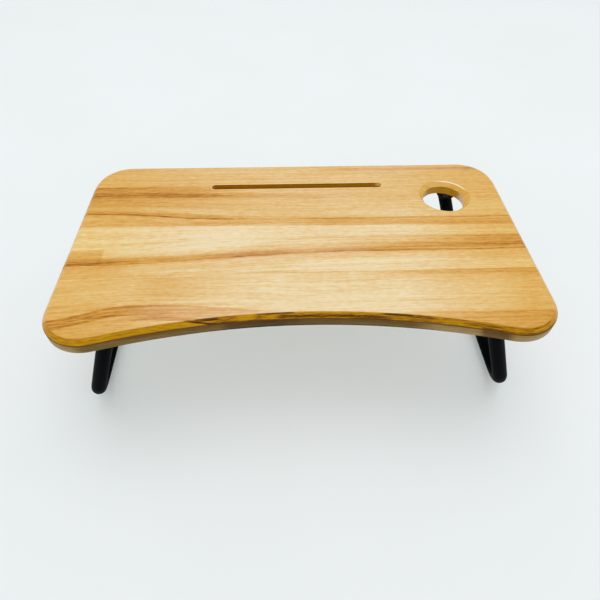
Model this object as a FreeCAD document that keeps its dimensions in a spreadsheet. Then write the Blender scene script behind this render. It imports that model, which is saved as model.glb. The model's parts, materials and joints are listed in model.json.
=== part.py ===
import FreeCAD, Part
import math
import os
import re
import Sketcher

# Bed tray table: a bevelled board with a tablet slot and a cup hole, on two folding legs of bent tube.
#
# X runs along the board's width, Y from the curved-in front edge (-Y) to the back (+Y) and Z up.
# The origin is on the floor under the board's centre, with the legs open.
# Lengths are in millimetres and angles in degrees.

SIZES = [
    # the board
    ("table_height", 215, "floor to the top face of the board"),
    ("board_width", 600, "across the board"),
    ("board_depth", 340, "back edge to the front ears"),
    ("board_thickness", 18, "board with its film and backing"),
    ("corner_radius", 50, "plan radius of all four corners"),
    ("front_arc_radius", 935, "curve of the front edge"),
    ("edge_bevel", 6.5, "45 degree bevel of the top edge and the cup hole"),
    ("edge_softening", 1.2, "rounding of the bevel's two edges"),
    ("film", 0.4, "decor film over the core"),
    ("backing", 0.4, "sheet under the core"),
    # the cup hole and the tablet slot
    ("cup_radius", 30.5, "wall of the cup hole"),
    ("cup_side_inset", 85.5, "cup centre from the right edge"),
    ("cup_back_inset", 86, "cup centre from the back edge"),
    ("slot_length", 252, "tablet slot, end to end"),
    ("slot_width", 11, "tablet slot, front to back"),
    ("slot_depth", 10, "tablet slot below the top face"),
    ("slot_back_inset", 57.5, "slot's middle from the back edge"),
    ("slot_softening", 0.5, "rounding of the slot's rim"),
    # the legs
    ("lean", 20.6, "lean of an open leg from upright"),
    ("tube_radius", 10, "outside of the leg tube"),
    ("tube_wall", 1.2, "wall of the leg tube"),
    ("bend_radius", 46, "bends between post and floor rail, on the centre line"),
    ("tube_reach", 5, "tube past the pivot"),
    ("pivot_side_inset", 64.5, "pivot from the side edge"),
    ("front_post_inset", 52, "front post from the front ears"),
    ("rear_post_inset", 21, "rear post from the back edge"),
    ("plug_depth", 16, "tube plug below the pivot"),
    ("plug_fit", 0.05, "plug inside the tube"),
    # the rubber feet
    ("foot_thickness", 1.5, "foot below the rail"),
    ("foot_radius", 5, "head of a foot"),
    ("foot_stem_radius", 3, "stem of a foot"),
    ("foot_barb_radius", 3.7, "barb inside the tube"),
    ("foot_barb_height", 2.5, "barb, top to bottom"),
    ("foot_fit", 0.05, "stem in its hole"),
    ("foot_inset", 12, "foot from the end of the bend"),
    # the hinge brackets
    ("plate_length", 70, "base plate, side to side"),
    ("plate_thickness", 3, "base plate"),
    ("plate_corner", 4, "corners of the base plate"),
    ("cheek", 3, "cheek beside the tube"),
    ("cheek_tail", 22, "cheek towards the middle of the table, at the plate"),
    ("cheek_heel", 20, "cheek towards the side of the table"),
    ("cheek_nose", 12, "nose round the pivot"),
    ("heel_drop", 4, "upright back of the heel below the pivot"),
    ("chin", 12, "flat bottom of the nose, to the heel"),
    ("bracket_softening", 0.8, "rounding of the cheeks' outlines"),
    ("side_gap", 0.5, "tube to each cheek"),
    ("stop_gap", 0.3, "open tube to its stop"),
    ("end_gap", 0.8, "domed tube end to the base plate"),
    # the pivot bolts and nuts
    ("bolt_radius", 3, "shank"),
    ("bolt_fit", 0.08, "shank in the turning tube"),
    ("bolt_head_radius", 5.5, "button head"),
    ("bolt_head_height", 3.3, "button head"),
    ("bolt_head_rounding", 2, "edge of the head"),
    ("bolt_socket", 2, "hexagon socket, centre to flat"),
    ("bolt_socket_depth", 2, "hexagon socket"),
    ("bolt_proud", 1, "shank past the nut"),
    ("bolt_tip", 0.6, "bevel of the shank's end"),
    ("nut_height", 5, "nut"),
    ("nut_flat", 5, "nut, centre to flat"),
    ("nut_bevel", 0.6, "bevel of the nut's outer rim"),
    # the bracket screws
    ("screw_x", 28, "screw from the pivot, across the table"),
    ("screw_y", 7.5, "screw from the post's middle, along the depth"),
    ("screw_radius", 1.75, "shank"),
    ("screw_head_radius", 3.4, "countersunk head"),
    ("screw_length", 14, "head to point"),
    ("screw_tip", 3, "tapered point"),
    ("screw_fit", 0.1, "screw in the plate"),
    ("screw_room", 0.5, "pilot hole past the point"),
    ("recess_reach", 1.9, "cross recess, centre to end"),
    ("recess_half", 0.45, "cross recess, half of its width"),
    ("recess_depth", 1.3, "cross recess"),
    ("overcut", 1, "how far a cut runs past what it cuts"),
]
ALIASES = {name for name, _, _ in SIZES}

HALF_WIDTH = "(board_width / 2)"
HALF_DEPTH = "(board_depth / 2)"
UNDERSIDE = "(table_height - board_thickness)"
CUP_X = f"({HALF_WIDTH} - cup_side_inset)"
CUP_Y = f"({HALF_DEPTH} - cup_back_inset)"

# The tube's square end and the dome of its plug reach equally far from the pivot.
END_REACH = "sqrt(tube_radius ^ 2 + tube_reach ^ 2)"
PLATE_FACE = f"({END_REACH} + end_gap)"
PIVOT_DROP = f"({PLATE_FACE} + plate_thickness)"
PIVOT_X = f"({HALF_WIDTH} - pivot_side_inset)"
PIVOT_Z = f"({UNDERSIDE} - {PIVOT_DROP})"
POST_Y = {
    "front": f"(front_post_inset - {HALF_DEPTH})",
    "rear": f"({HALF_DEPTH} - rear_post_inset)",
}
CHANNEL = "(2 * (tube_radius + side_gap))"
BRACKET_WIDTH = f"({CHANNEL} + 2 * cheek)"

# The rail's centre line: its height, and how far it is from the pivots along the leaning leg.
RAIL_Z = "(foot_thickness + tube_radius)"
LEG_DROP = f"(({PIVOT_Z} - {RAIL_Z}) / cos(lean))"
RAIL_X = f"({PIVOT_X} + {LEG_DROP} * sin(lean))"
FOOT_Y = {
    "front": f"({POST_Y['front']} + bend_radius + foot_inset)",
    "rear": f"({POST_Y['rear']} - bend_radius - foot_inset)",
}
SIDES = {"left": -1, "right": 1}

START, END, CENTRE = range(1, 4)  # the points of a sketch's edge
AXIS = {"x": FreeCAD.Vector(1, 0, 0), "y": FreeCAD.Vector(0, 1, 0), "z": FreeCAD.Vector(0, 0, 1)}
TOLERANCE = 1e-4

doc = FreeCAD.newDocument("bed_tray_table")
sheet = doc.addObject("Spreadsheet::Sheet", "sizes")
for row, (name, number, meaning) in enumerate(SIZES, 1):
    sheet.set(f"A{row}", meaning)
    sheet.set(f"B{row}", str(number))
    sheet.setAlias(f"B{row}", name)
doc.recompute()


# ---- expressions ----


def formula(text):
    """The text with each size's name pointed at its cell."""
    return re.sub(r"[a-z_]+", lambda word: f"sizes.{word[0]}" if word[0] in ALIASES else word[0], text)


def size(text):
    return float(sheet.evalExpression(formula(text)))


def bind(target, path, text):
    target.setExpression(path, formula(text))


# ---- bodies, sketches and features ----


def new_body(name):
    body = doc.addObject("PartDesign::Body", name)
    body.Label = name
    return body


def place(body, x, y, z, axis="z", angle=0, angle_text=None):
    """Set a body down at x, y, z, turned about one axis."""
    turn = FreeCAD.Rotation(AXIS[axis], size(angle_text) if angle_text else angle)
    body.Placement = FreeCAD.Placement(FreeCAD.Vector(), turn)
    for letter, text in zip("xyz", (x, y, z)):
        bind(body, f"Placement.Base.{letter}", text)
    if angle_text:
        bind(body, "Placement.Rotation.Angle", angle_text)


def origin_feature(body, role):
    return next(item for item in body.Origin.OriginFeatures if item.Role == role)


def new_sketch(body, name, role, lift=None):
    """A sketch on one of the body's own planes, lifted along the plane's normal."""
    sketch = body.newObject("Sketcher::SketchObject", name)
    sketch.AttachmentSupport = [(origin_feature(body, role), "")]
    sketch.MapMode = "FlatFace"
    if lift:
        bind(sketch, "AttachmentOffset.Base.z", lift)
    return sketch


def pin(sketch, edge, point, x=None, y=None):
    """Hold a point of an edge at x and y from the sketch's origin."""
    for kind, text in (("DistanceX", x), ("DistanceY", y)):
        if text is not None:
            index = sketch.addConstraint(Sketcher.Constraint(kind, -1, 1, edge, point, size(text)))
            bind(sketch, f"Constraints[{index}]", text)


def hold_radius(sketch, edge, text):
    index = sketch.addConstraint(Sketcher.Constraint("Radius", edge, size(text)))
    bind(sketch, f"Constraints[{index}]", text)


def add_line(sketch, start, end):
    points = [FreeCAD.Vector(*point, 0) for point in (start, end)]
    return sketch.addGeometry(Part.LineSegment(*points), False)


def add_circle(sketch, x, y, radius):
    """A circle at x, y."""
    centre = FreeCAD.Vector(size(x), size(y), 0)
    edge = sketch.addGeometry(Part.Circle(centre, AXIS["z"], size(radius)), False)
    pin(sketch, edge, CENTRE, x, y)
    hold_radius(sketch, edge, radius)


def add_arc(sketch, centre, radius, start, end):
    """An arc that runs anticlockwise from one angle to another, in radians."""
    circle = Part.Circle(FreeCAD.Vector(*centre, 0), AXIS["z"], radius)
    return sketch.addGeometry(Part.ArcOfCircle(circle, start, end), False)


def join(sketch, kind, edge, point, other, other_point):
    sketch.addConstraint(Sketcher.Constraint(kind, edge, point, other, other_point))


def add_polygon(sketch, points):
    """A closed outline of straight lines, with every corner pinned."""
    corners = [(size(x), size(y)) for x, y in points]
    edges = [add_line(sketch, *pair) for pair in zip(corners, corners[1:] + corners[:1])]
    for edge, following, (x, y) in zip(edges, edges[1:] + edges[:1], points):
        join(sketch, "Coincident", edge, END, following, START)
        pin(sketch, edge, START, x, y)


def hexagon(flat):
    """The corners of a hexagon with one flat facing along the second axis."""
    corner = f"({flat} / cos(30))"
    return [(f"{corner} * cos({60 * k})", f"{corner} * sin({60 * k})") for k in range(6)]


def pad(body, sketch, length, symmetric=False, backwards=False):
    feature = body.newObject("PartDesign::Pad", sketch.Name + "_pad")
    feature.Profile = sketch
    feature.SideType = "Symmetric" if symmetric else "One side"
    feature.Reversed = backwards
    bind(feature, "Length", length)
    doc.recompute()
    return feature


def pocket(body, sketch, length=None, symmetric=False, backwards=False):
    """Cut a sketch out of the body, right through it if no length is given."""
    before = body.Shape.Volume
    feature = body.newObject("PartDesign::Pocket", sketch.Name + "_pocket")
    feature.Profile = sketch
    feature.SideType = "Symmetric" if symmetric else "One side"
    feature.Reversed = backwards
    if length:
        bind(feature, "Length", length)
    else:
        feature.Type = "ThroughAll"
    doc.recompute()
    if not body.Shape.Volume < before - TOLERANCE:
        raise RuntimeError(f"{body.Label}: {feature.Name} cuts nothing")
    return feature


def revolve(body, sketch, axis):
    feature = body.newObject("PartDesign::Revolution", sketch.Name + "_turned")
    feature.Profile = sketch
    feature.ReferenceAxis = (sketch, [axis])
    doc.recompute()
    return feature


def dress(body, kind, base, amount_name, amount, wanted):
    """Chamfer or fillet those edges of the base feature that the test picks."""
    edges = [f"Edge{n}" for n, edge in enumerate(base.Shape.Edges, 1) if wanted(edge)]
    if not edges:
        raise RuntimeError(f"{body.Label}: no edges for {kind} after {base.Name}")
    feature = body.newObject(f"PartDesign::{kind}", f"{base.Name}_{kind.lower()}")
    feature.Base = (base, edges)
    bind(feature, amount_name, amount)
    doc.recompute()
    return feature


def level(edge, axis, height):
    """Whether an edge lies in the plane where the axis reads height."""
    low, high = {
        "x": (edge.BoundBox.XMin, edge.BoundBox.XMax),
        "y": (edge.BoundBox.YMin, edge.BoundBox.YMax),
        "z": (edge.BoundBox.ZMin, edge.BoundBox.ZMax),
    }[axis]
    return abs(low - height) < TOLERANCE and abs(high - height) < TOLERANCE


# ---- the board ----


def draw_outline(sketch, inset):
    """The board's outline: round corners, straight back and sides, and a front edge that curves in."""
    radius = f"corner_radius - {inset}"
    front_radius = f"front_arc_radius + {inset}"
    corner_x = f"{HALF_WIDTH} - corner_radius"
    corner_y = f"{HALF_DEPTH} - corner_radius"

    x, y, r = size(corner_x), size(corner_y), size(radius)
    front = size(front_radius)
    front_y = -y - math.sqrt((front + r) ** 2 - x**2)
    swing = math.atan2(-y - front_y, x)  # direction of the right ear's centre from the front arc's

    back = add_line(sketch, (-x, y + r), (x, y + r))
    back_right = add_arc(sketch, (x, y), r, 0, math.pi / 2)
    right = add_line(sketch, (x + r, y), (x + r, -y))
    right_ear = add_arc(sketch, (x, -y), r, swing - math.pi, 0)
    front_arc = add_arc(sketch, (0, front_y), front, swing, math.pi - swing)
    left_ear = add_arc(sketch, (-x, -y), r, math.pi, 2 * math.pi - swing)
    left = add_line(sketch, (-x - r, -y), (-x - r, y))
    back_left = add_arc(sketch, (-x, y), r, math.pi / 2, math.pi)

    join(sketch, "Tangent", back, END, back_right, END)
    join(sketch, "Tangent", back_right, START, right, START)
    join(sketch, "Tangent", right, END, right_ear, END)
    join(sketch, "Tangent", right_ear, START, front_arc, START)
    join(sketch, "Tangent", front_arc, END, left_ear, END)
    join(sketch, "Tangent", left_ear, START, left, START)
    join(sketch, "Tangent", left, END, back_left, END)
    join(sketch, "Tangent", back_left, START, back, START)
    corners = {back_right: (1, 1), right_ear: (1, -1), left_ear: (-1, -1), back_left: (-1, 1)}
    for edge, (across, along) in corners.items():
        pin(sketch, edge, CENTRE, f"{across} * ({corner_x})", f"{along} * ({corner_y})")
        hold_radius(sketch, edge, radius)
    hold_radius(sketch, front_arc, front_radius)


def draw_slot(sketch, inset):
    """The tablet slot: a long hole with round ends."""
    radius = f"slot_width / 2 + {inset}"
    reach = "(slot_length - slot_width) / 2"
    middle = f"{HALF_DEPTH} - slot_back_inset"
    x, y, r = size(reach), size(middle), size(radius)

    right = add_arc(sketch, (x, y), r, -math.pi / 2, math.pi / 2)
    far = add_line(sketch, (x, y + r), (-x, y + r))
    left = add_arc(sketch, (-x, y), r, math.pi / 2, 3 * math.pi / 2)
    near = add_line(sketch, (-x, y - r), (x, y - r))
    join(sketch, "Tangent", right, END, far, START)
    join(sketch, "Tangent", far, END, left, START)
    join(sketch, "Tangent", left, END, near, START)
    join(sketch, "Tangent", near, END, right, START)
    pin(sketch, right, CENTRE, reach, middle)
    pin(sketch, left, CENTRE, f"-{reach}", middle)
    hold_radius(sketch, right, radius)


def draw_screw_holes(sketch, radius):
    """Sixteen circles, four under each hinge bracket."""
    for side in SIDES.values():
        for post_y in POST_Y.values():
            for across in (-1, 1):
                for along in (-1, 1):
                    x = f"{side} * ({PIVOT_X} + {across} * screw_x)"
                    y = f"{post_y} + {along} * screw_y"
                    add_circle(sketch, x, y, radius)


def in_slot(edge):
    """Whether an edge belongs to the tablet slot."""
    middle = edge.BoundBox.Center
    slot_y = size(f"{HALF_DEPTH} - slot_back_inset")
    return abs(middle.x) < size("slot_length / 2 + overcut") and abs(middle.y - slot_y) < size("slot_width")


def milled_board(name, inset, bottom):
    """The board with its hole, slot and bevels, each drawn in by the inset. Its underside is at z = bottom."""
    body = new_body(name)
    place(body, "0", "0", UNDERSIDE)
    top = f"board_thickness - {inset}"
    # the two planes of the bevel stay one inset apart
    bevel = f"edge_bevel - (2 - sqrt(2)) * {inset}"

    outline = new_sketch(body, name + "_outline", "XY_Plane", bottom)
    draw_outline(outline, inset)
    pad(body, outline, f"{top} - {bottom}")
    cup = new_sketch(body, name + "_cup", "XY_Plane")
    add_circle(cup, CUP_X, CUP_Y, f"cup_radius + {inset}")
    pocket(body, cup, symmetric=True)
    slot = new_sketch(body, name + "_slot", "XY_Plane", top)
    draw_slot(slot, inset)
    milled = pocket(body, slot, "slot_depth")
    height = size(top)
    bevelled = dress(
        body, "Chamfer", milled, "Size", bevel, lambda edge: level(edge, "z", height) and not in_slot(edge)
    )
    return body, bevelled


def board_core():
    """The fibreboard core, with the pilot holes of the bracket screws."""
    body, _ = milled_board("board_core", "film", "backing")
    holes = new_sketch(body, "pilot_holes", "XY_Plane", "backing")
    draw_screw_holes(holes, "screw_radius")
    depth = "screw_length - plate_thickness + screw_room - backing"
    pocket(body, holes, depth, backwards=True)
    return body


def decor_film():
    """The film is the finished board's shape, less everything one film's thickness inside it."""
    finished, bevelled = milled_board("finished_board", "0", "0")
    height = size("board_thickness")
    bevel_foot = size("board_thickness - edge_bevel")
    softened = dress(
        finished,
        "Fillet",
        bevelled,
        "Radius",
        "edge_softening",
        lambda edge: (level(edge, "z", height) or level(edge, "z", bevel_foot)) and not in_slot(edge),
    )
    dress(
        finished,
        "Fillet",
        softened,
        "Radius",
        "slot_softening",
        lambda edge: level(edge, "z", height) and in_slot(edge),
    )
    inside, _ = milled_board("inside_of_film", "film", "0")
    film = doc.addObject("Part::Cut", "decor_film")
    film.Label = "decor_film"
    film.Base = finished
    film.Tool = inside
    return film


def backing_sheet():
    """The thin sheet under the core, inside the film's edge."""
    body = new_body("backing_sheet")
    place(body, "0", "0", UNDERSIDE)
    outline = new_sketch(body, "backing_outline", "XY_Plane")
    draw_outline(outline, "film")
    pad(body, outline, "backing")
    holes = new_sketch(body, "backing_holes", "XY_Plane")
    add_circle(holes, CUP_X, CUP_Y, "cup_radius + film")
    draw_screw_holes(holes, "screw_radius")
    pocket(body, holes, symmetric=True)
    return body


# ---- the legs: each is drawn about its pivot axis, hanging straight down, and set down leaning out ----


def place_on_leg(body, side, y):
    """Set a body down on a pivot axis, leaning out with its leg."""
    place(body, f"{side} * {PIVOT_X}", y, PIVOT_Z, "y", angle_text=f"{-side} * lean")


def draw_leg_path(sketch):
    """The tube's centre line: down the front post, back along the floor rail and up the rear post."""
    front, rear = POST_Y["front"], POST_Y["rear"]
    bend_low = f"bend_radius - {LEG_DROP}"
    near, far = size(front), size(rear)
    r, low, top = size("bend_radius"), size(bend_low), size("tube_reach")

    front_post = add_line(sketch, (near, top), (near, low))
    front_bend = add_arc(sketch, (near + r, low), r, math.pi, 3 * math.pi / 2)
    rail = add_line(sketch, (near + r, low - r), (far - r, low - r))
    rear_bend = add_arc(sketch, (far - r, low), r, 3 * math.pi / 2, 2 * math.pi)
    rear_post = add_line(sketch, (far, low), (far, top))
    join(sketch, "Tangent", front_post, END, front_bend, START)
    join(sketch, "Tangent", front_bend, END, rail, START)
    join(sketch, "Tangent", rail, END, rear_bend, START)
    join(sketch, "Tangent", rear_bend, END, rear_post, START)
    pin(sketch, front_post, START, front, "tube_reach")
    pin(sketch, front_bend, CENTRE, f"{front} + bend_radius", bend_low)
    pin(sketch, rear_bend, CENTRE, f"{rear} - bend_radius", bend_low)
    pin(sketch, rear_post, END, rear, "tube_reach")


def leg_tube(side_name, side):
    """One bent tube, with the bores for its pivot bolts and the holes for its feet."""
    name = f"{side_name}_leg_tube"
    body = new_body(name)
    place_on_leg(body, side, "0")
    path = new_sketch(body, name + "_path", "YZ_Plane")
    draw_leg_path(path)
    ring = new_sketch(body, name + "_ring", "XY_Plane", "tube_reach")
    for radius in ("tube_radius", "tube_radius - tube_wall"):
        add_circle(ring, "0", POST_Y["front"], radius)
    doc.recompute()
    pipe = body.newObject("PartDesign::AdditivePipe", name + "_pipe")
    pipe.Profile = ring
    pipe.Spine = path
    doc.recompute()

    bore = new_sketch(body, name + "_bore", "XZ_Plane")
    add_circle(bore, "0", "0", "bolt_radius + bolt_fit")
    pocket(body, bore, symmetric=True)

    # the feet point straight down when the leg leans out, so their holes are cut at the angle of lean
    feet = new_sketch(body, name + "_foot_holes", "XY_Plane", f"-{LEG_DROP}")
    feet.AttachmentOffset = FreeCAD.Placement(
        feet.AttachmentOffset.Base, FreeCAD.Rotation(AXIS["y"], side * size("lean"))
    )
    bind(feet, "AttachmentOffset.Rotation.Angle", f"{side} * lean")
    for foot_y in FOOT_Y.values():
        add_circle(feet, "0", foot_y, "foot_stem_radius + foot_fit")
    pocket(body, feet, "tube_radius + overcut")
    return body


def tube_plug(name, side, post_y):
    """A domed plug in a post's end, bored for the pivot bolt."""
    body = new_body(name)
    place_on_leg(body, side, post_y)
    stem, rim, dome = "tube_radius - tube_wall - plug_fit", "tube_radius", END_REACH
    profile = new_sketch(body, name + "_profile", "XZ_Plane")
    low, high, r = -size("plug_depth"), size("tube_reach"), size(dome)
    spine = add_line(profile, (0, r), (0, low))
    bottom = add_line(profile, (0, low), (size(stem), low))
    wall = add_line(profile, (size(stem), low), (size(stem), high))
    step = add_line(profile, (size(stem), high), (size(rim), high))
    cap = add_arc(profile, (0, 0), r, math.atan2(high, size(rim)), math.pi / 2)
    join(profile, "Coincident", spine, END, bottom, START)
    join(profile, "Coincident", bottom, END, wall, START)
    join(profile, "Coincident", wall, END, step, START)
    join(profile, "Coincident", step, END, cap, START)
    join(profile, "Coincident", cap, END, spine, START)
    pin(profile, spine, END, "0", "-plug_depth")
    pin(profile, bottom, END, stem, "-plug_depth")
    pin(profile, wall, END, stem, "tube_reach")
    pin(profile, cap, CENTRE, "0", "0")
    pin(profile, cap, START, rim, "tube_reach")
    pin(profile, cap, END, "0")
    revolve(body, profile, "V_Axis")
    bore = new_sketch(body, name + "_bore", "XZ_Plane")
    add_circle(bore, "0", "0", "bolt_radius + bolt_fit")
    pocket(body, bore, symmetric=True)
    return body


def rubber_foot(name, side, foot_y):
    """A foot whose head fits the underside of the rail and whose barbed stem is pushed into it."""
    body = new_body(name)
    place(body, f"{side} * {RAIL_X}", foot_y, RAIL_Z)
    head = new_sketch(body, name + "_head", "XY_Plane", f"-{RAIL_Z}")
    add_circle(head, "0", "0", "foot_radius")
    pad(body, head, RAIL_Z)
    saddle = new_sketch(body, name + "_saddle", "XZ_Plane")
    add_circle(saddle, "0", "0", "tube_radius")
    pocket(body, saddle, symmetric=True)

    low = "-(tube_radius + foot_thickness / 2)"
    shoulder = "-sqrt((tube_radius - tube_wall) ^ 2 - foot_barb_radius ^ 2) + foot_fit"
    stem = new_sketch(body, name + "_stem", "XZ_Plane")
    add_polygon(
        stem,
        [
            ("0", low),
            ("foot_stem_radius", low),
            ("foot_stem_radius", shoulder),
            ("foot_barb_radius", shoulder),
            ("foot_stem_radius / 2", f"{shoulder} + foot_barb_height"),
            ("0", f"{shoulder} + foot_barb_height"),
        ],
    )
    revolve(body, stem, "V_Axis")
    return body


# ---- the hinges: each bracket is drawn about its pivot, with +X towards the side of the table ----


def place_at_pivot(body, side, post_y, x="0", y="0", z="0"):
    """Set a body down at a pivot, turned to face the table's side, x, y, z away in its own frame."""
    turn = 0 if side > 0 else 180
    place(
        body, f"{side} * ({PIVOT_X} + {x})", f"{post_y} + {side} * ({y})", f"{PIVOT_Z} + {z}", angle=turn
    )


def draw_cheek(sketch):
    """A cheek's outline: tail, round nose, chin and upright heel."""
    tail, plate, nose = size("cheek_tail"), size(PLATE_FACE), size("cheek_nose")
    heel, drop, chin = size("cheek_heel"), size("heel_drop"), size("chin")
    # the tail's edge touches the nose where a line from the plate is tangent to it
    touch = math.atan2(plate, -tail) + math.acos(nose / math.hypot(tail, plate))
    touch_point = (nose * math.cos(touch), nose * math.sin(touch))

    base = add_line(sketch, (heel, plate), (-tail, plate))
    back = add_line(sketch, (-tail, plate), touch_point)
    nose_arc = add_arc(sketch, (0, 0), nose, touch, 3 * math.pi / 2)
    bottom = add_line(sketch, (0, -nose), (chin, -nose))
    slope = add_line(sketch, (chin, -nose), (heel, -drop))
    upright = add_line(sketch, (heel, -drop), (heel, plate))
    join(sketch, "Coincident", base, END, back, START)
    join(sketch, "Tangent", back, END, nose_arc, START)
    join(sketch, "Tangent", nose_arc, END, bottom, START)
    join(sketch, "Coincident", bottom, END, slope, START)
    join(sketch, "Coincident", slope, END, upright, START)
    join(sketch, "Coincident", upright, END, base, START)
    pin(sketch, base, START, "cheek_heel", PLATE_FACE)
    pin(sketch, base, END, "-cheek_tail", PLATE_FACE)
    pin(sketch, nose_arc, CENTRE, "0", "0")
    hold_radius(sketch, nose_arc, "cheek_nose")
    pin(sketch, bottom, END, "chin", "-cheek_nose")
    pin(sketch, slope, END, "cheek_heel", "-heel_drop")


def draw_channel(sketch):
    """The room the tube turns in, ending at the sloped stop that the open leg rests against."""
    inner = "-(cheek_tail + overcut)"
    low = "-(cheek_nose + overcut)"
    wall = f"({END_REACH} + stop_gap)"
    stop_at_pivot = "(tube_radius + stop_gap) / cos(lean)"
    stop_top = f"({stop_at_pivot} - {wall}) / tan(lean)"
    stop_foot = f"{stop_at_pivot} + (cheek_nose + overcut) * tan(lean)"
    add_polygon(
        sketch, [(inner, PLATE_FACE), (wall, PLATE_FACE), (wall, stop_top), (stop_foot, low), (inner, low)]
    )


def hinge_bracket(name, side, post_y):
    """A moulded bracket: a base plate, two cheeks and the heel that stops the leg."""
    body = new_body(name)
    place_at_pivot(body, side, post_y)
    half_length, half_width = "plate_length / 2", f"{BRACKET_WIDTH} / 2"

    cheek = new_sketch(body, name + "_cheek", "XZ_Plane")
    draw_cheek(cheek)
    block = pad(body, cheek, BRACKET_WIDTH, symmetric=True)
    face, plate_face = size(half_width), size(PLATE_FACE)
    softened = dress(
        body,
        "Fillet",
        block,
        "Radius",
        "bracket_softening",
        lambda edge: not level(edge, "z", plate_face)
        and (level(edge, "y", face) or level(edge, "y", -face)),
    )
    plate = new_sketch(body, name + "_plate", "XY_Plane", PLATE_FACE)
    corners = [(-1, -1), (1, -1), (1, 1), (-1, 1)]
    add_polygon(plate, [(f"{a} * {half_length}", f"{b} * {half_width}") for a, b in corners])
    plated = pad(body, plate, "plate_thickness")
    end = size(half_length)
    rounded = dress(
        body,
        "Fillet",
        plated,
        "Radius",
        "plate_corner",
        lambda edge: level(edge, "x", end) and level(edge, "y", edge.BoundBox.YMin)
        or level(edge, "x", -end) and level(edge, "y", edge.BoundBox.YMin),
    )
    channel = new_sketch(body, name + "_channel", "XZ_Plane")
    draw_channel(channel)
    pocket(body, channel, CHANNEL, symmetric=True)
    bore = new_sketch(body, name + "_bore", "XZ_Plane")
    add_circle(bore, "0", "0", "bolt_radius")
    pocket(body, bore, symmetric=True)

    holes = new_sketch(body, name + "_screw_holes", "XY_Plane", PLATE_FACE)
    for across, along in corners:
        add_circle(holes, f"{across} * screw_x", f"{along} * screw_y", "screw_radius + screw_fit")
    drilled = pocket(body, holes, "plate_thickness", backwards=True)
    dress(
        body,
        "Chamfer",
        drilled,
        "Size",
        "screw_head_radius - screw_radius",
        lambda edge: edge.Closed and level(edge, "z", plate_face),
    )
    return body


def pivot_bolt(name, side, post_y, outward):
    """A button-headed bolt through both cheeks, with its head on the table's outer side."""
    body = new_body(name)
    place(body, f"{side} * {PIVOT_X}", post_y, PIVOT_Z, angle=0 if outward < 0 else 180)
    face = f"{BRACKET_WIDTH} / 2"
    top = f"-({face} + bolt_head_height)"
    tip = f"{face} + nut_height + bolt_proud"
    profile = new_sketch(body, name + "_profile", "YZ_Plane")
    add_polygon(
        profile,
        [
            (top, "0"),
            (tip, "0"),
            (tip, "bolt_radius - bolt_tip"),
            (f"{tip} - bolt_tip", "bolt_radius"),
            (f"-{face}", "bolt_radius"),
            (f"-{face}", "bolt_head_radius"),
            (top, "bolt_head_radius"),
        ],
    )
    turned = revolve(body, profile, "H_Axis")
    head = size(top)
    dress(
        body,
        "Fillet",
        turned,
        "Radius",
        "bolt_head_rounding",
        lambda edge: level(edge, "y", head) and edge.Closed,
    )
    socket = new_sketch(body, name + "_socket", "XZ_Plane", f"-({top})")
    add_polygon(socket, hexagon("bolt_socket"))
    pocket(body, socket, "bolt_socket_depth")
    return body


def pivot_nut(name, side, post_y, outward):
    """The nut on a bolt's inner end."""
    body = new_body(name)
    place(body, f"{side} * {PIVOT_X}", post_y, PIVOT_Z, angle=0 if outward < 0 else 180)
    face = f"{BRACKET_WIDTH} / 2"
    flats = new_sketch(body, name + "_flats", "XZ_Plane", f"-{face}")
    add_polygon(flats, hexagon("nut_flat"))
    block = pad(body, flats, "nut_height", backwards=True)
    outer = size(f"{face} + nut_height")
    dress(body, "Chamfer", block, "Size", "nut_bevel", lambda edge: level(edge, "y", outer))
    bore = new_sketch(body, name + "_bore", "XZ_Plane")
    add_circle(bore, "0", "0", "bolt_radius")
    pocket(body, bore, symmetric=True)
    return body


def bracket_screws(name, side, post_y):
    """Four countersunk wood screws, from one screw repeated across and along the plate."""
    body = new_body(name)
    place_at_pivot(body, side, post_y, "-screw_x", "-screw_y", PLATE_FACE)
    profile = new_sketch(body, name + "_profile", "XZ_Plane")
    add_polygon(
        profile,
        [
            ("0", "0"),
            ("screw_head_radius", "0"),
            ("screw_radius", "screw_head_radius - screw_radius"),
            ("screw_radius", "screw_length - screw_tip"),
            ("0", "screw_length"),
        ],
    )
    turned = revolve(body, profile, "V_Axis")
    recess = new_sketch(body, name + "_recess", "XY_Plane")
    near, far = "recess_half", "recess_reach"
    quarter = [(far, near), (near, near), (near, far)]
    cross = []
    for k in range(4):
        cos, sin = round(math.cos(k * math.pi / 2)), round(math.sin(k * math.pi / 2))
        cross += [(f"{cos} * {x} - {sin} * {y}", f"{sin} * {x} + {cos} * {y}") for x, y in quarter]
    add_polygon(recess, cross)
    recessed = pocket(body, recess, "recess_depth", backwards=True)
    grid = body.newObject("PartDesign::LinearPattern", name + "_grid")
    grid.Originals = [turned, recessed]
    grid.Direction = (origin_feature(body, "X_Axis"), [""])
    grid.Direction2 = (origin_feature(body, "Y_Axis"), [""])
    grid.Occurrences = 2
    grid.Occurrences2 = 2
    bind(grid, "Length", "2 * screw_x")
    bind(grid, "Length2", "2 * screw_y")
    body.Tip = grid
    doc.recompute()
    return body


def build():
    """Every sub-part, as one list."""
    nodes = [board_core(), decor_film(), backing_sheet()]
    for side_name, side in SIDES.items():
        nodes.append(leg_tube(side_name, side))
        for post, outward in (("front", -1), ("rear", 1)):
            corner = f"{post}_{side_name}"
            post_y = POST_Y[post]
            nodes += [
                hinge_bracket(f"{corner}_hinge_bracket", side, post_y),
                pivot_bolt(f"{corner}_pivot_bolt", side, post_y, outward),
                pivot_nut(f"{corner}_pivot_nut", side, post_y, outward),
                bracket_screws(f"{corner}_bracket_screws", side, post_y),
                tube_plug(f"{corner}_tube_plug", side, post_y),
                rubber_foot(f"{corner}_rubber_foot", side, FOOT_Y[post]),
            ]
    doc.recompute()
    return nodes


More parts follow.
